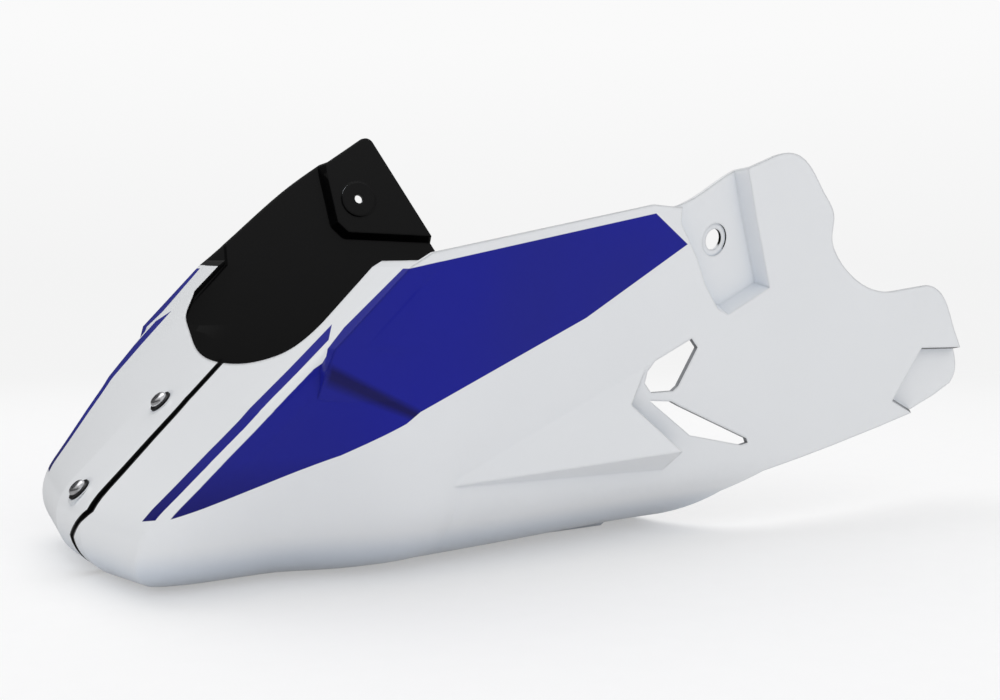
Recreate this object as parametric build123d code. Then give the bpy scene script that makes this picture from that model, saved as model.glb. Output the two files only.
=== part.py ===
from build123d import *
from math import atan, cos, radians, sin, sqrt
import os

os.makedirs("parts", exist_ok=True)

# Belly pan for a motorbike, moulded in two halves that lap on the nose ramp.
# Drawn with x from the nose tip to the rear, y = 0 on the bike's centre plane
# (the left half is at minus y) and z up from the floor that the keel rests on.

# Moulding
wall = 3.0                # thickness of both mouldings
block_top = 300.0         # height of the block that the outlines are cut from

# Nose ramp and its rounded tip
tip_radius = 27.6         # lower front edge of the nose
ramp_foot = 39.0          # the ramp line stands this high above the floor at x = 0
ramp_top = 172.0          # the block's front is upright above this
straight_from = 100.0     # from here up the skin is straight in every front view section
nose_meets_wall = 130.0   # here the leaning nose sides reach the side walls
nose_bow_low = 9.0        # how far the ramp edges lie behind the middle, low down
nose_bow_high = 0.5       # and high up
bow_change = (40.0, 100.0)
strip_half = 26.0         # half width of the flat middle strip
ridge_inset = 11.0        # the ridges between ramp and sides lie this far inboard of the nose sides
corner_run = 18.0         # length of the rounded turn from ramp to side

# Side walls
wall_half = 139.0         # half width of the side walls at the nose tip, projected to the floor
flare = 0.2               # outward lean of the side walls
taper = 0.1               # how fast each wall draws in toward the rear
bilge_radius = 55.0       # turn from the flat keel to the side walls
nose_half = 95.5          # half width of the nose sides, projected to the floor
nose_flare = 0.45         # outward lean of the nose sides
waist_ends = (88.0, 150.0)  # where the nose sides run out into the side walls
front_end = 175.0         # behind this the section is drawn at fixed stations
block_end = 660.0
block_half = 220.0        # half width of the blocks that cut the side outlines
# Share of the flat keel's half width that is gone at this distance, so that the rear narrows like a boat
keel_draw = ((40, 0.06), (88, 0.1), (155, 0.25), (206, 0.3), (256, 0.38), (302, 0.48), (355, 0.54), (450, 0.42),
             (block_end, 0.2))

# Shoulder where the side panel stands out from the nose side
shoulder_foot = (88.0, 119.0)
shoulder_corner = 130.0   # from this height up the shoulder's front lies on the ramp
shoulder_set = 0.6        # how far behind the ramp's plane
shoulder_inner = 112.0    # its side toward the centre plane
shoulder_end = (151.0, 96.0)
shoulder_fall = 0.0133    # the panel closes with the wall by this slope
shoulder_under = 14.0     # height of its sloping underside
shoulder_lean = 8.4       # how far the underside leans in over this height

# Wedge that flares out of the lower side, with a notched rear edge
wedge_nose = (126.0, 50.0)
wedge_nose_out = 2.5
wedge_upper = (304.0, 113.0)
wedge_notch = (292.0, 90.0)
wedge_tail = (329.0, 60.0)
wedge_out = 16.0          # how far its lower rear corner stands out
wedge_keel = (329.0, 14.0, 68.0)

# Two air vents behind the wedge
vent_upper = ((304, 102), (305, 109), (310, 115), (338, 127.5), (344, 122), (332, 99), (328, 96), (310, 96))
vent_lower = ((310, 91), (328, 89.5), (336, 86), (400, 61), (402, 58), (396, 57), (372, 62), (348, 67))

# Side view outlines of the two halves
left_top = ((131, 170), (145, 178), (293, 206), (314, 205))
left_lobe = ((314, 205), (339, 215), (360, 227), (378, 234), (397, 240), (410, 239), (423, 232), (439, 217),
             (452, 202), (453, 190), (462, 177), (479, 165), (502, 156), (525, 154))
left_tail = ((564, 158), (588, 147), (605, 126), (619, 109), (625, 93), (621, 85))
left_foot = ((621, 85), (604, 77), (579, 68), (538, 59), (488, 49), (424, 37), (394, 25), (375, 8), (371, -7))
right_top = ((131, 170), (164, 197), (203, 229), (228, 246), (263, 269))
right_back = ((263, 269), (313, 182), (342, 100), (358, 31), (360, -5))
corner_round = 6.0

# Opening in the ramp, in plan view from the left side to the right
mouth = ((104, -116), (92, -110), (84, -92), (79.5, -66), (78, -40), (79.5, 0), (83, 23), (91, 57), (97, 81),
         (103, 98), (109, 108), (116, 120))
mouth_back = 146.0
mouth_low = 90.0

# Seam between the halves, in front view
seam_side = 33.0          # left edge of the middle strip on the ramp
seam_tip = 6.0            # the same under the nose tip and on the keel
seam_heights = (22.0, 40.0)
seam_gap = 5.0
lap_reach = 16.0          # how far the left half's flange passes the centre plane
lap_root = 10.0           # width of the flange that is one with the left half
lap_thickness = 2.5
lap_clearance = 0.1

# Front screws, with a cap washer outside and a washer and nut inside
screw_heights = (46.0, 93.0)
screw_radius = 3.0
screw_hole = 3.3
screw_length = 16.0
head_radius = 5.25
head_height = 3.3
head_round = 2.4
socket_across = 4.0
socket_depth = 2.0
cap_radius = 7.0
cap_thickness = 1.2
boss_radius = 9.0
boss_inner = 6.2          # depth of the inner washer's seat below the ramp
nut_across = 10.0
nut_height = 5.0
washer_radius = 6.0
washer_thickness = 1.2

# Fixing points of the two halves, x and z in side view
left_fix = (354.0, 187.0)
left_fix_radius = 6.5
left_fix_seat = 10.0
left_pocket = ((314, 245), (319, 199), (335, 180), (345, 164), (358, 150), (366, 147), (395, 161), (376, 199),
               (363, 227), (358, 251))
right_fix = (251.0, 220.0)
right_fix_radius = 3.3
right_fix_seat = 13.0
right_fix_boss = 4.4      # depth of the boss behind the hole, from the pocket floor
right_pocket = ((229, 301), (231, 240), (236, 205), (242, 199), (328, 196), (337, 299))
pocket_depth = 9.0
pocket_draft = 22.0
seat_depth = 1.0

# Scooped recess at the tail of the left half
tail_pocket = ((571, 112), (550, 79), (584, 65), (659, 73), (659, 110))
tail_pocket_depth = 7.0


def along(table, x):
    """Straight interpolation in a short table of pairs."""
    if x <= table[0][0]:
        return table[0][1]
    for (x0, v0), (x1, v1) in zip(table, table[1:]):
        if x <= x1:
            return v0 + (v1 - v0) * (x - x0) / (x1 - x0)
    return table[-1][1]


def wall_turn(inset, slope):
    """Height where the rounded turn from the keel meets a side that leans by this slope."""
    return bilge_radius - (bilge_radius - inset) * sin(atan(slope))


def half_width(half, z, inset, slope=flare):
    """Half width at height z of a leaning side with its rounded turn to the keel."""
    lean = sqrt(1 + slope ** 2)
    if z >= wall_turn(inset, slope):
        return half + slope * z - inset * lean
    foot = half + (slope - lean) * bilge_radius
    return foot + sqrt(max((bilge_radius - inset) ** 2 - (bilge_radius - z) ** 2, 0))


def side_half(x, z, inset):
    """Half width of the tapering side walls."""
    return half_width(wall_half - taper * x, z, inset)


def waisted(x, nose, side):
    """Half width between the nose side and the full side wall."""
    w0, w1 = waist_ends
    t = min(max((x - w0) / (w1 - w0), 0), 1)
    return nose + (side - nose) * t * t * (3 - 2 * t)


def keel_share(z, inset):
    """Share of the keel's draw that is left at height z."""
    low = half_width(wall_half, inset, inset)
    high = half_width(wall_half, wall_turn(inset, flare), inset)
    return max(1 - (half_width(wall_half, z, inset) - low) / (high - low), 0)


def ramp_x(z, inset):
    """Position of the nose ramp at height z on the centre plane, with its rounded tip."""
    radius = tip_radius - inset
    turn = tip_radius + radius * sin(radians(45))
    if z >= turn:
        return min(z, ramp_top) - ramp_foot + inset * sqrt(2)
    return tip_radius - sqrt(max(radius ** 2 - (tip_radius - z) ** 2, 0))


def bow(z):
    """Set-back of the ramp edges behind the middle strip."""
    low, high = bow_change
    share = min(max((z - low) / (high - low), 0), 1)
    return nose_bow_low + (nose_bow_high - nose_bow_low) * share


def keel_loss(x):
    """How far the keel has narrowed at this distance behind the nose."""
    return along(keel_draw, x) * half_width(wall_half, 0, 0)


def section(z, inset):
    """Closed plan outline of the pan at height z."""
    strip_x = ramp_x(z, inset)
    edge_x = strip_x + bow(z)
    start = edge_x + corner_run - inset
    nose = min(half_width(nose_half, z, inset, nose_flare), side_half(start, z, inset))
    edge_y = nose - ridge_inset
    share = keel_share(z, inset)
    front = [start + (front_end - start) * k / 5 for k in range(6)]
    front_points = [(x, waisted(x, nose, side_half(x, z, inset)) - share * keel_loss(x)) for x in front]
    rear = [front_end, 220, 262, 302, 355, 450, 540, block_end]
    rear_points = [(x, side_half(x, z, inset) - share * keel_loss(x)) for x in rear]
    edges = []
    for hand in (-1, 1):
        rear_curve = Spline(*[(x, hand * y, z) for x, y in rear_points])
        front_curve = Spline(*[(x, hand * y, z) for x, y in front_points])
        turn_curve = Spline(
            (edge_x, hand * edge_y, z),
            (start, hand * front_points[0][1], z),
            tangents=((0.12, hand * 1.0), (1.0, hand * 0.1)),
            tangent_scalars=(0.8, 0.8),
        )
        facet = Line((strip_x, hand * strip_half, z), (edge_x, hand * edge_y, z))
        edges.extend([rear_curve, front_curve, turn_curve, facet])
    edges.append(Line((strip_x, -strip_half, z), (strip_x, strip_half, z)))
    back_x, back_y = rear_points[-1]
    edges.append(Line((back_x, -back_y, z), (back_x, back_y, z)))
    return Wire.combine(edges)[0]


def hull(inset):
    """The pan as a filled block, inset evenly by the given thickness."""
    r = tip_radius
    levels = [inset]
    for angle in (15, 30, 45, 60, 75):
        levels.append(r - (r - inset) * cos(radians(angle)))
    levels.extend([r, r + 10, r + (r - inset) * sin(radians(45)) + 1, 55, 67, 82, 95, straight_from])
    foot = loft([Face(section(z, inset)) for z in levels])
    top = loft([Face(section(z, inset)) for z in (straight_from, nose_meets_wall, ramp_top, block_top)], ruled=True)
    return foot + top


def side_face(curves):
    """Face in the centre plane bounded by lines and curves given in side view."""
    return Face(Wire.combine(curves)[0])


def side_outline(points):
    """Face in the centre plane with straight edges between the given x and z."""
    return side_face(Polyline(*[(x, 0, z) for x, z in points], close=True).edges())


def across(face, low, high):
    """Block made by moving a side view face between two distances from the centre plane."""
    return extrude(face.moved(Location((0, low, 0))), high - low, dir=(0, 1, 0))


def wall_point(x, z, out=0.0):
    """Point on the left side wall, moved outward."""
    return Vector(x, -(side_half(x, z, 0) + out), z)


def keep_inside(body, a, b, c, inset=0.0):
    """Cut away what lies on the outer side of the plane through three points."""
    outward = (b - a).cross(c - a).normalized()
    if outward.Y > 0:
        outward = outward * -1
    return split(body, bisect_by=Plane(origin=a - outward * inset, z_dir=outward), keep=Keep.BOTTOM)


def shoulder(inset):
    """Side panel that stands out from the nose side of the left half."""
    foot_x, foot_z = shoulder_foot
    end_x, end_z = shoulder_end
    behind = shoulder_set - ramp_foot + inset * sqrt(2)
    points = [
        (foot_x + inset, foot_z - shoulder_under),
        (foot_x + inset, foot_z + 0.6 * inset),
        (shoulder_corner + behind, shoulder_corner),
        (ramp_top + behind, ramp_top),
        (ramp_top + behind, block_top - 10),
        (front_end + 5, block_top - 10),
        (front_end + 5, end_z - shoulder_under),
    ]
    block = across(side_outline(points), -block_half, -shoulder_inner)
    a = wall_point(100, 100)
    b = wall_point(100, 200)
    c = wall_point(200, 150, -100 * shoulder_fall)
    block = keep_inside(block, a, b, c, inset)
    foot = wall_point(foot_x, foot_z)
    end = wall_point(end_x, end_z)
    under = wall_point(foot_x, foot_z - shoulder_under, -shoulder_lean)
    return keep_inside(block, foot, end, under, inset)


def wedge(inset):
    """Flared lower side of the left half, notched at the rear."""
    points = [
        (wedge_nose[0] - 10, wedge_nose[1] - 8),
        (wedge_upper[0] - 4, wedge_upper[1] + 4),
        (wedge_upper[0] - inset, wedge_upper[1]),
        (wedge_notch[0] - inset, wedge_notch[1]),
        (wedge_tail[0] - inset, wedge_tail[1] - 0.5 * inset),
        (wedge_tail[0] - inset, 2 + inset),
        (wedge_nose[0] + 40, 2 + inset),
    ]
    block = across(side_outline(points), -200, -50)
    nose_x, nose_z = wedge_nose
    nose_side = half_width(nose_half, nose_z, 0, nose_flare)
    nose_y = waisted(nose_x, nose_side, side_half(nose_x, nose_z, 0)) + wedge_nose_out
    nose = Vector(nose_x, -nose_y, nose_z)
    upper = wall_point(*wedge_upper)
    tail = wall_point(*wedge_tail, wedge_out)
    keel_x, keel_z, keel_y = wedge_keel
    keel = Vector(keel_x, -keel_y, keel_z)
    block = keep_inside(block, nose, upper, tail, inset)
    return keep_inside(block, nose, tail, keel, inset)


def both(body):
    """A feature of the left half together with its mirror image."""
    return body + mirror(body, about=Plane.XZ)


def pocket(points, depth, inset):
    """Block that sinks a pocket with sloping sides into the left side wall."""
    x0 = sum(p[0] for p in points) / len(points)
    z0 = sum(p[1] for p in points) / len(points)
    seat = Plane(origin=wall_point(x0, z0, -depth - inset), x_dir=(1, taper, 0), z_dir=(taper, -1, -flare))
    centre = seat.origin
    floor = [seat.to_local_coords(Vector(x, centre.Y - flare * (z - z0) + taper * (x - x0), z)) for x, z in points]
    outline = Face(Wire(Polyline(*[(p.X, p.Y) for p in floor], close=True).edges()))
    if inset:
        outline = Face(offset(outline, inset * cos(radians(pocket_draft))).faces()[0].outer_wire())
    return extrude(seat * outline, 45, taper=-pocket_draft)


def seat_plane(x, z, depth, hand=-1):
    """Plane on the floor of a pocket, looking straight out of the side wall."""
    point = wall_point(x, z, -depth)
    return Plane(origin=(x, -hand * point.Y, z), x_dir=(1, -hand * taper, 0), z_dir=(taper, hand, -flare))


def ramp_plane(height):
    """Plane on the middle strip at this height, looking straight out of the ramp."""
    return Plane(origin=(height - ramp_foot, 0, height), x_dir=(0, 1, 0), z_dir=(-1, 0, 1))


def disc(plane, radius, low, high):
    """Round block on a plane, between two distances along its normal."""
    return plane * Pos(0, 0, (low + high) / 2) * Cylinder(radius, high - low)


def prism(plane, across_flats, low, high):
    """Hexagonal block on a plane, between two distances along its normal."""
    outline = plane * Pos(0, 0, low) * RegularPolygon(across_flats / 2, 6, major_radius=False)
    return extrude(outline, high - low, dir=plane.z_dir)


def seam_line(shift):
    """Points of the seam in front view, moved sideways."""
    low, high = seam_heights
    tip = -seam_tip + shift
    side = -seam_side + shift
    return [(tip, -10), (tip, low), (side, high), (side, block_top)]


def lengthwise(points):
    """Block with the given front view outline, as long as the pan."""
    outline = Face(Wire(Polyline(*[(-40, y, z) for y, z in points], close=True).edges()))
    return extrude(outline, 760, dir=(1, 0, 0))


def mouth_block():
    """Opening in the ramp, from above."""
    front = Spline(*[(x, y, mouth_low) for x, y in mouth])
    left_x, left_y = mouth[0]
    right_x, right_y = mouth[-1]
    back = Polyline(
        (right_x, right_y, mouth_low),
        (mouth_back, right_y, mouth_low),
        (mouth_back, left_y, mouth_low),
        (left_x, left_y, mouth_low),
    )
    outline = Face(Wire.combine(front.edges() + back.edges())[0])
    return extrude(outline, block_top, dir=(0, 0, 1))


def vent(points):
    """Opening through the left side wall."""
    return across(side_outline(points), -200, -60)


def left_block():
    """Everything within the side view outline of the left half."""
    lobe = Spline(*[(x, 0, z) for x, z in left_lobe])
    tail = Spline(*[(x, 0, z) for x, z in left_tail])
    top = Polyline(*[(x, 0, z) for x, z in left_top])
    join = Line((left_lobe[-1][0], 0, left_lobe[-1][1]), (left_tail[0][0], 0, left_tail[0][1]))
    foot = Polyline(*[(x, 0, z) for x, z in left_foot])
    front = [left_foot[-1], (-30, left_foot[-1][1]), (-30, left_top[0][1]), left_top[0]]
    frame = Polyline(*[(x, 0, z) for x, z in front])
    curves = [*top.edges(), lobe, join, tail, *foot.edges(), *frame.edges()]
    return across(side_face(curves), -block_half, lap_reach + 4)


def right_block():
    """Everything within the side view outline of the right half."""
    top = Spline(*[(x, 0, z) for x, z in right_top])
    back = Polyline(*[(x, 0, z) for x, z in right_back])
    front = [right_back[-1], (-30, right_back[-1][1]), (-30, right_top[0][1]), right_top[0]]
    frame = Polyline(*[(x, 0, z) for x, z in front])
    face = side_face([top, *back.edges(), *frame.edges()])
    ear = [v for v in face.vertices() if v.Z > right_top[-1][1] - 1]
    return across(fillet(ear, corner_round), -seam_side - 20, block_half)


outer = hull(0) + both(shoulder(0)) + both(wedge(0))
inner = hull(wall) + both(shoulder(wall)) + both(wedge(wall))
opening = mouth_block()

left_skin = (outer & left_block()) - pocket(left_pocket, pocket_depth, 0) - pocket(tail_pocket, tail_pocket_depth, 0)
left_core = inner - pocket(left_pocket, pocket_depth, wall) - pocket(tail_pocket, tail_pocket_depth, wall)
left_half = left_skin - left_core - opening
left_half = left_half & lengthwise(seam_line(-seam_gap / 2) + [(-400, block_top), (-400, -10)])
for points in (vent_upper, vent_lower):
    left_half -= vent(points)
left_seat = seat_plane(*left_fix, pocket_depth)
left_half -= disc(left_seat, left_fix_seat, -seat_depth, 10)
left_half -= disc(left_seat, left_fix_radius, -20, 20)

# Flange of the left half, which the right half laps over
lap_inside = hull(wall + lap_clearance + lap_thickness)
free_lap = lengthwise(seam_line(-seam_gap / 2) + [(lap_reach, block_top), (lap_reach, -10)])
root_lap = lengthwise(seam_line(-seam_gap / 2) + list(reversed(seam_line(-lap_root))))
keel_range = Pos(170, 0, 60) * Box(380, 200, 200)
lap_outside = hull(wall + lap_clearance)
flange = (lap_outside & free_lap) + (hull(wall - 1) & root_lap)
flange = (flange & keel_range) - lap_inside - opening

# Right half
right_skin = (outer & right_block()) - mirror(pocket(right_pocket, pocket_depth, 0), about=Plane.XZ)
right_core = inner - mirror(pocket(right_pocket, pocket_depth, wall), about=Plane.XZ)
right_half = right_skin - right_core - opening
right_half = right_half & lengthwise(seam_line(seam_gap / 2) + [(400, block_top), (400, -10)])
right_seat = seat_plane(*right_fix, pocket_depth, 1)
right_half += disc(right_seat, right_fix_seat, -right_fix_boss, -2)
right_half -= disc(right_seat, right_fix_seat, -seat_depth, 10)
right_half -= disc(right_seat, right_fix_radius, -20, 20)

left_half = left_half + flange
fasteners = {}
for name, height in zip(("lower", "upper"), screw_heights):
    plane = ramp_plane(height)
    right_half += disc(plane, boss_radius, -wall + 0.5, 0)
    right_half -= disc(plane, boss_radius, 0, 20)
    left_half += disc(plane, boss_radius, -boss_inner, -wall - lap_clearance - 0.5) & lap_outside
    left_half -= disc(plane, boss_radius, -30, -boss_inner)
    hole = disc(plane, screw_hole, -20, 20)
    right_half -= hole
    left_half -= hole
    cap = disc(plane, cap_radius, 0, cap_thickness) - disc(plane, screw_radius + 0.1, -1, 5)
    head = disc(plane, head_radius, cap_thickness, cap_thickness + head_height)
    crown = head.edges().filter_by(GeomType.CIRCLE).sort_by(Axis((0, 0, 0), (-1, 0, 1)))[-1]
    head = fillet(crown, head_round)
    shank = disc(plane, screw_radius, cap_thickness - screw_length, cap_thickness + 1)
    top = cap_thickness + head_height
    screw = head + shank - prism(plane, socket_across, top - socket_depth, top + 1)
    seat = -boss_inner
    washer = disc(plane, washer_radius, seat - washer_thickness, seat)
    washer -= disc(plane, screw_radius + 0.1, -20, 5)
    nut_top = seat - washer_thickness
    nut = prism(plane, nut_across, nut_top - nut_height, nut_top) - disc(plane, screw_radius, -30, 5)
    fasteners["screw_" + name] = screw
    fasteners["cap_washer_" + name] = cap
    fasteners["inner_washer_" + name] = washer
    fasteners["nut_" + name] = nut

nodes = {"left_half": left_half, "right_half": right_half, **fasteners}
box = Compound([s for n in nodes.values() for s in n.solids()]).bounding_box()
base = Location((-(box.min.X + box.max.X) / 2, -(box.min.Y + box.max.Y) / 2, -box.min.Z))
for name, shape in nodes.items():
    export_step(shape.moved(base), f"parts/{name}.step")
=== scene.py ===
import math

import bpy
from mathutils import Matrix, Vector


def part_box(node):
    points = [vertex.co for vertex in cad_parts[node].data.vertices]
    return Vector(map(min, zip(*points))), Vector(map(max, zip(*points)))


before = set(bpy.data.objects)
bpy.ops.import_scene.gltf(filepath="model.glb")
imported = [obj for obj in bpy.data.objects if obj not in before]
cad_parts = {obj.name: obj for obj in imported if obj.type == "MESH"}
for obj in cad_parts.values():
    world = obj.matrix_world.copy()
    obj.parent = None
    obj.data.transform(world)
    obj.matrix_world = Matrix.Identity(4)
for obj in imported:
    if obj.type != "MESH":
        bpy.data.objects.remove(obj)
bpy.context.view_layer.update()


# The two mouldings
# Left and right halves of the pan, moulded in black plastic about 3 mm thick. The outside is painted
# gloss white with a blue print on each flank; the inside and the cut edges are bare.

nose_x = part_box("left_half")[0].x          # the nose tip; x in the print is counted from it
centre_y = -0.00285                        # the pan's centre plane; y in the print is counted from it

white = (0.80, 0.815, 0.835, 1)
dull_white = (0.785, 0.80, 0.82, 1)
shaded_white = (0.66, 0.71, 0.78, 1)       # painted shade in the pockets and creases
blue = (0.010, 0.013, 0.28, 1)
dull_blue = (0.013, 0.016, 0.235, 1)
# painted shade on the blue, toward the keel and under the shoulder
shaded_blue = (0.007, 0.006, 0.095, 1)
bare = (0.0016, 0.0016, 0.0018, 1)
vent_edge = (0.30, 0.31, 0.33, 1)          # overspray on the cut edges of the two vents, in a grey that also holds painted shade
print_edge = 0.0003                        # width over which one colour turns into the next
edge_round = 0.0025                        # softens the look of the moulded edges

seam_path = [(-0.006, 0.022), (-0.033, 0.040)]  # y and z where it leans over; upright above and below
seam_half = 0.0045                         # the gap and the bare lip on each side of it


class Shade:
    """A socket in a material. Arithmetic on it adds Math nodes to the same tree."""

    def __init__(self, tree, socket=None):
        self.tree = tree
        self.socket = socket

    def make(self, kind, settings=None, values=None, out=0):
        """Add a node of this kind and return one of its outputs."""
        node = self.tree.nodes.new("ShaderNode" + kind)
        for name, value in (settings or {}).items():
            setattr(node, name, value)
        for name, value in (values or {}).items():
            if isinstance(value, Shade):
                self.tree.links.new(value.socket, node.inputs[name])
            else:
                node.inputs[name].default_value = value
        return Shade(self.tree, node.outputs[out])

    def math(self, operation, *values):
        """One Math node on these values."""
        return self.make("Math", {"operation": operation}, dict(enumerate(values)))

    def __add__(self, other):
        return self.math("ADD", self, other)

    def __sub__(self, other):
        return self.math("SUBTRACT", self, other)

    def __rsub__(self, other):
        return self.math("SUBTRACT", other, self)

    def __mul__(self, other):
        return self.math("MULTIPLY", self, other)

    def __truediv__(self, other):
        return self.math("DIVIDE", self, other)

    def __abs__(self):
        return self.math("ABSOLUTE", self)

    __radd__ = __add__
    __rmul__ = __mul__

    def least(self, other):
        return self.math("MINIMUM", self, other)

    def most(self, other):
        return self.math("MAXIMUM", self, other)

    def clamped(self):
        return self.most(0).least(1)

    def rise(self, low, high):
        """0 below low, 1 above high and a straight line between."""
        return ((self - low) / (high - low)).clamped()

    def axes(self):
        """The x, y and z parts of a vector."""
        split = self.make("SeparateXYZ", {}, {0: self}).socket.node
        return [Shade(self.tree, part) for part in split.outputs]

    def noise(self, scale, detail=2.0):
        """Grey noise in object space; scale is in waves per metre."""
        place = self.make("TexCoord", out="Object")
        return self.make("TexNoise", {}, {"Vector": place, "Scale": scale, "Detail": detail}, "Fac")

    def blend(self, first, second):
        """Colour that goes from first to second as this mask goes from 0 to 1."""
        return self.make("Mix", {"data_type": "RGBA"}, {0: self, 6: first, 7: second}, 2)


def surface(name):
    """A new material, its shader node, and an empty Shade that starts nodes in its tree."""
    material = bpy.data.materials.new(name)
    material.use_nodes = True
    shader = material.node_tree.nodes["Principled BSDF"]
    start = Shade(material.node_tree)
    return material, shader, start


def attach(shader, name, value):
    """Link a Shade to an input of the shader node."""
    value.tree.links.new(value.socket, shader.inputs[name])


def edge(value):
    """Mask that is 1 where the value, a distance in metres, is above 0."""
    return value.rise(-print_edge / 2, print_edge / 2)


def inside(x, z, corners):
    """Mask of a convex shape with its corners listed clockwise."""
    nearest = None
    for (x0, z0), (x1, z1) in zip(corners, corners[1:] + corners[:1]):
        length = math.hypot(x1 - x0, z1 - z0)
        depth = (x - x0) * ((z1 - z0) / length) - (z - z0) * ((x1 - x0) / length)
        nearest = depth if nearest is None else nearest.least(depth)
    return edge(nearest)


def above(out, z, first, last):
    """Height over the line through two points, each given as y and z."""
    slope = (last[1] - first[1]) / (last[0] - first[0])
    return z - first[1] - (out - first[0]) * slope


def line_through(z, points):
    """Distance from the centre plane at this height, from points given as y and z."""
    result = points[0][0]
    for (y0, z0), (y1, z1) in zip(points, points[1:]):
        result = z.rise(z0, z1) * (y1 - y0) + result
    return result


# The painted skin looks away from the middle of the pan: forward of the first of these places, outward
# of the second and down from the third. The cut edges look along the pan or up, so they stay bare.
nose_middle = 0.175
flank_middle = 0.045
keel_middle = 0.060
skin_turn = (0.014, 0.022)                 # how far it looks away, from all bare to all painted
ramp_up = 0.74                             # what looks up more than the ramp does is a cut edge
edge_weight = 0.3                          # and how strongly that counts
rim_start = 0.125                          # behind and above these, the left half's rim is painted too
rim_low = 0.140
mask_step = 0.002                          # width over which such a mask turns


def painted_skin(x, y, z, facing):
    """Mask of the painted outside."""
    face_x, face_y, face_z = facing
    forward = (x - nose_middle).least(0) * face_x
    side = (abs(y) - flank_middle).most(0) * (face_y * y.math("SIGN", y))
    down = (z - keel_middle).least(0) * face_z
    upward = (face_z - ramp_up).most(0) * edge_weight
    outer = (forward + side + down - upward).rise(*skin_turn)
    rim = x.rise(rim_start, rim_start + mask_step) * z.rise(rim_low, rim_low + mask_step)
    rim = rim * (y * -1).rise(0, 0.01) * face_z.rise(0.45, 0.55)
    seam_off = edge(abs(y - line_through(z, seam_path)) - seam_half)
    return outer.most(rim) * seam_off


# The print in side view, x from the nose tip and z from the floor. On the ramp the blue ends at a
# line given by distances from the centre plane and heights, and a stripe runs beside it. All in metres.
front_field = [(0.0, 0.0384), (0.0, 0.1446), (0.1506, 0.1734), (0.1506, 0.0986), (0.1381, 0.0892),
               (0.1057, 0.0739)]
rear_field = [(0.140, 0.0925), (0.140, 0.1714), (0.2953, 0.2011), (0.3238, 0.1839), (0.2519, 0.142)]
field_limit = [(0.1089, 0.0384), (0.1123, 0.0459), (0.1360, 0.0989), (0.1439, 0.1199),
               (0.1481, 0.1264), (0.1446, 0.1403), (0.1521, 0.1697)]
stripe_inner = [(0.0962, 0.0432), (0.1188, 0.0946), (0.1248, 0.1192), (0.1283, 0.1413)]
stripe_outer = [(0.1075, 0.0452), (0.1311, 0.0973), (0.1376, 0.1181), (0.1400, 0.1340)]
ramp_line = 0.039                          # height of the ramp at the nose tip; it rises at 45 degrees
ramp_skin = 0.018                          # what lies this near to the ramp's plane counts as ramp


def print_shape(x, y, z):
    """Mask of the blue: one field on each flank, and one stripe on each side of the ramp."""
    out = abs(y)
    on_ramp = 1 - (x - z + ramp_line).rise(ramp_skin, ramp_skin + print_edge)
    field = inside(x, z, front_field).most(inside(x, z, rear_field))
    field = field * (1 - on_ramp * (1 - edge(out - line_through(z, field_limit))))
    foot = above(out, z, stripe_inner[0], stripe_outer[0])
    head = above(out, z, stripe_inner[-1], stripe_outer[-1]) * -1
    width = (out - line_through(z, stripe_inner)).least(line_through(z, stripe_outer) - out)
    stripe = edge(width.least(foot).least(head)) * on_ramp
    return field.most(stripe)


step_foot = (0.090, 0.122)                 # x and z of the shoulder's lower edge, with painted shade underneath
step_end = (0.147, 0.0945)
step_soft = 0.002                          # half the width over which that painted shade fades in
step_shade = (0.006, 0.012)                 # and fades out again, this far below the edge
step_thins = 0.45                          # and how much of its width it loses toward its end
keel_shade = (0.035, 0.075)                 # heights between which painted shade darkens the blue toward the keel


def blue_print_and_shade(x, z, mottle):
    """Blue with painted shade: darker toward the keel and in a band under the shoulder."""
    along = (x - step_foot[0]) / (step_end[0] - step_foot[0])
    below = along * (step_end[1] - step_foot[1]) + step_foot[1] - z
    thinned = below / (1 - along * step_thins)
    # painted shadow in a band under the shoulder's lower edge
    under = below.rise(-step_soft, step_soft) * (1 - thinned.rise(*step_shade))
    under = under * along.rise(-0.05, 0.02) * (1 - along.rise(0.95, 1.08))
    # where the blue gets no painted shade
    light = z.rise(*keel_shade) * (1 - under)
    return light.blend(shaded_blue, mottle.rise(0.35, 0.65).blend(dull_blue, blue))


shade_reach = 0.03                        # how far off a wall the painted shade of the hollows reaches


def white_paint_and_shade(start, mottle):
    """White with painted shade: greyer in the pockets and creases, where ambient occlusion finds them.
    """
    clear = mottle.rise(0.3, 0.7).blend(dull_white, white)
    # Painted shade: the white turns bluish grey where walls are near
    occlusion_shade = start.make("AmbientOcclusion", {"samples": 8}, {"Distance": shade_reach}, "AO")
    return occlusion_shade.rise(0.4, 0.95).blend(shaded_white, clear)


# The two vents of the left half, x from the nose tip and z from the floor
vents_start = 0.300
vents_end = 0.405
vents_top = 0.131
vents_out = 0.100                          # they lie further than this from the centre plane


def vent_edges(x, y, z, face_y):
    """Mask of the vents' cut edges."""
    along = x.rise(vents_start, vents_start + mask_step)
    along = along * (1 - x.rise(vents_end, vents_end + mask_step))
    left = (y * -1 - vents_out).rise(0, mask_step) * (vents_top - z).rise(0, mask_step)
    return along * left * (1 - abs(face_y).rise(0.5, 0.6))


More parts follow.
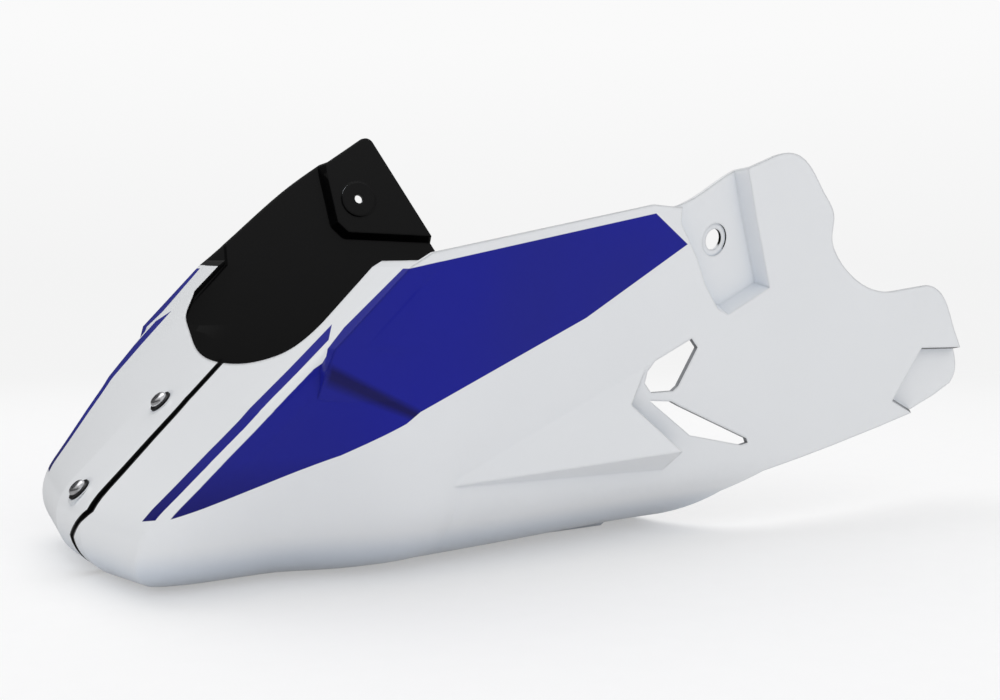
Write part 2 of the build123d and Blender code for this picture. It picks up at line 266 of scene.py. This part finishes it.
def moulding_finish():
    """Gloss paint with its print outside, with painted shade in the hollows and on the blue, and bare
    black plastic inside.
    """
    material, shader, start = surface("painted_moulding")
    x, y, z = start.make("TexCoord", out="Object").axes()
    x, y = x - nose_x, y - centre_y
    facing = start.make("NewGeometry", out="True Normal").axes()
    mottle = start.noise(9.0, 1.0)
    painted = painted_skin(x, y, z, facing)
    outside = print_shape(x, y, z).blend(white_paint_and_shade(start, mottle), blue_print_and_shade(x, z, mottle))
    unpainted = vent_edges(x, y, z, facing[1]).blend(bare, vent_edge)
    attach(shader, "Base Color", painted.blend(unpainted, outside))

    # Gloss on both sides; the bare moulding has a fine moulded grain under its shine
    dust = start.noise(900.0, 3.0)
    rough = painted * -0.06 + 0.36 + dust * 0.02
    attach(shader, "Roughness", rough)
    shader.inputs["Coat Weight"].default_value = 0.25
    shader.inputs["Coat Roughness"].default_value = 0.05
    shader.inputs["Specular IOR Level"].default_value = 0.08
    peel = start.noise(260.0, 1.5)
    grain = start.noise(2600.0, 2.0)
    height = painted * peel * 0.7 + (1 - painted) * grain * 0.5
    soft = start.make("Bevel", {"samples": 6}, {"Radius": edge_round})
    relief = start.make("Bump", {}, {"Height": height, "Normal": soft, "Strength": 0.06,
                                     "Distance": 0.0004})
    attach(shader, "Normal", relief)
    return material


def dress(nodes, material):
    """Give CAD nodes this finish."""
    for name in nodes:
        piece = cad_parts[name]
        piece.data.materials.clear()
        piece.data.materials.append(material)
        for face in piece.data.polygons:
            face.material_index = 0


dress(("left_half", "right_half"), moulding_finish())


# Nose screws
# Two button head hexagon socket screws of bright zinc plated steel that hold the lap together. Each
# sits on a black cap washer outside, and passes a washer and a nut behind the lap.


def plated(name, colour, rough):
    """Plated steel with a faint brushed and handled look."""
    material, shader, start = surface(name)
    cloud = start.noise(500.0, 3.0)
    fine = start.noise(6000.0, 2.0)
    dark = tuple(0.7 * part for part in colour[:3]) + (1,)
    attach(shader, "Base Color", cloud.rise(0.3, 0.7).blend(dark, colour))
    attach(shader, "Roughness", cloud * 0.12 + rough)
    shader.inputs["Metallic"].default_value = 1.0
    relief = start.make("Bump", {}, {"Height": fine, "Strength": 0.1, "Distance": 0.00005})
    attach(shader, "Normal", relief)
    return material


def cap_finish():
    """Satin black of the washers under the screw heads."""
    material, shader, start = surface("cap_washer_black")
    grain = start.noise(4000.0, 2.0)
    attach(shader, "Base Color", grain.blend((0.004, 0.004, 0.004, 1), (0.01, 0.01, 0.011, 1)))
    attach(shader, "Roughness", grain * 0.15 + 0.4)
    shader.inputs["Specular IOR Level"].default_value = 0.2
    relief = start.make("Bump", {}, {"Height": grain, "Strength": 0.15, "Distance": 0.00005})
    attach(shader, "Normal", relief)
    return material


bright_zinc = (0.78, 0.78, 0.80, 1)
dull_zinc = (0.6, 0.6, 0.58, 1)

dress(("screw_lower", "screw_upper"), plated("bright_screw", bright_zinc, 0.14))
dress(("cap_washer_lower", "cap_washer_upper"), cap_finish())
dress(("inner_washer_lower", "inner_washer_upper", "nut_lower", "nut_upper"),
      plated("zinc_plate", dull_zinc, 0.32))


# Studio
# A pale floor in front of a white backdrop, an overhead soft box, a weak fill from the front and a
# white surround, as in a product photograph.

floor_half = 12.0
floor_near = 0.55                          # the camera sees the paper's own shading, lifted by glow, up to here
floor_far = 1.5                            # and is plain bright paper from here on
paper_glow_lift = 0.38                          # share of glow the camera sees in the paper near the object, which lifts its shadows
paper_bright = 1.0
paper_far = 0.90
paper_mirrored = 0.4                       # gloss sees the paper as a glow this bright, a painted reflection dimmer than its shading


def sheet(name, half):
    """A square sheet on the ground."""
    corners = [(-half, -half, 0), (half, -half, 0), (half, half, 0), (-half, half, 0)]
    mesh = bpy.data.meshes.new(name)
    mesh.from_pydata(corners, [], [(0, 1, 2, 3)])
    made = bpy.data.objects.new(name, mesh)
    bpy.context.scene.collection.objects.link(made)
    return made


def paper_finish():
    """White paper that glows for the camera and for gloss. Near the object the camera sees its shading
    lifted by the glow; far from it the paper is evenly bright as the backdrop.
    """
    material, shader, start = surface("paper_white")
    fibre = start.noise(60.0, 4.0)
    attach(shader, "Base Color", fibre.blend((0.88, 0.88, 0.885, 1), (0.905, 0.905, 0.91, 1)))
    shader.inputs["Roughness"].default_value = 0.9
    shader.inputs["Specular IOR Level"].default_value = 0.1
    place = start.make("TexCoord", out="Object")
    distance = start.make("VectorMath", {"operation": "LENGTH"}, {0: place}, "Value")
    seen = start.make("LightPath", out="Is Camera Ray")
    mirrored = start.make("LightPath", out="Is Glossy Ray")
    run = distance.rise(floor_near, floor_far)
    away = run * run * (3 - run * 2)
    level = seen * (away * (paper_far - paper_bright) + paper_bright) + mirrored * paper_mirrored
    glow = start.make("Emission", {}, {"Color": level.blend((0, 0, 0, 1), (1, 1, 1, 1))})
    share = seen * (away * (1 - paper_glow_lift) + paper_glow_lift) + mirrored
    both = start.make("MixShader", {}, {0: share, 1: Shade(start.tree, shader.outputs[0]), 2: glow})
    end = start.tree.nodes["Material Output"]
    start.tree.links.new(both.socket, end.inputs["Surface"])
    return material


floor = sheet("paper", floor_half)
floor.data.materials.append(paper_finish())


def lamp(name, place, aim, size, watts):
    """A rectangular soft box that looks from one point at another."""
    light = bpy.data.lights.new(name, "AREA")
    light.shape = "RECTANGLE"
    light.size = size[0]
    light.size_y = size[1]
    light.energy = watts
    made = bpy.data.objects.new(name, light)
    made.location = place
    from_lamp = Vector(aim) - Vector(place)
    made.rotation_euler = from_lamp.to_track_quat("-Z", "Y").to_euler()
    bpy.context.scene.collection.objects.link(made)
    return made


lamp("overhead", (-0.1, 0.35, 1.7), (0, 0, 0.05), (2.2, 1.8), 11)
lamp("front_fill", (0.3, -2.2, 1.1), (0.05, 0, 0.1), (2.6, 1.6), 6)

# How bright the surround is where it lights the scene, where gloss mirrors it and where the camera sees
# it. Heights are the z of the direction, 0 at the horizon and 1 overhead.
fill_level = 0.78
mirror_low = 0.09
mirror_gain = 0.75                         # added toward the top, where a white ceiling would be
mirror_rise = (0.35, 0.9)
backdrop_low = 0.90
backdrop_gain = 0.055
backdrop_rise = (0.0, 0.16)

world = bpy.data.worlds.new("surround")
bpy.context.scene.world = world
world.use_nodes = True
sky = world.node_tree.nodes["Background"]
start = Shade(world.node_tree)
seen = start.make("LightPath", out="Is Camera Ray")
glossy = start.make("LightPath", out="Is Glossy Ray")
height = start.make("TexCoord", out="Generated").axes()[2]
mirrored = height.rise(*mirror_rise) * mirror_gain + mirror_low
backdrop = height.rise(*backdrop_rise) * backdrop_gain + backdrop_low
level = glossy * mirrored + (1 - glossy) * fill_level
level = seen * backdrop + (1 - seen) * level
sky.inputs["Color"].default_value = (1.0, 1.0, 1.0, 1)
attach(sky, "Strength", level)


# Camera
# At the photograph's angle, close to the nose and a little above it, with a normal lens.

lens_mm = 48.6
sensor_mm = 36.0
camera_place = (-0.49966, -0.76285, 0.170)
camera_down = 3.476                        # degrees below level
camera_turn = 31.75                        # degrees from square on to the left side

lens = bpy.data.cameras.new("camera")
lens.lens = lens_mm
lens.sensor_width = sensor_mm
lens.clip_start = 0.01
camera = bpy.data.objects.new("camera", lens)
camera.location = camera_place
camera.rotation_euler = (math.radians(90 - camera_down), 0, math.radians(-camera_turn))
bpy.context.scene.collection.objects.link(camera)
bpy.context.scene.camera = camera
bpy.context.scene.view_settings.view_transform = "Standard"
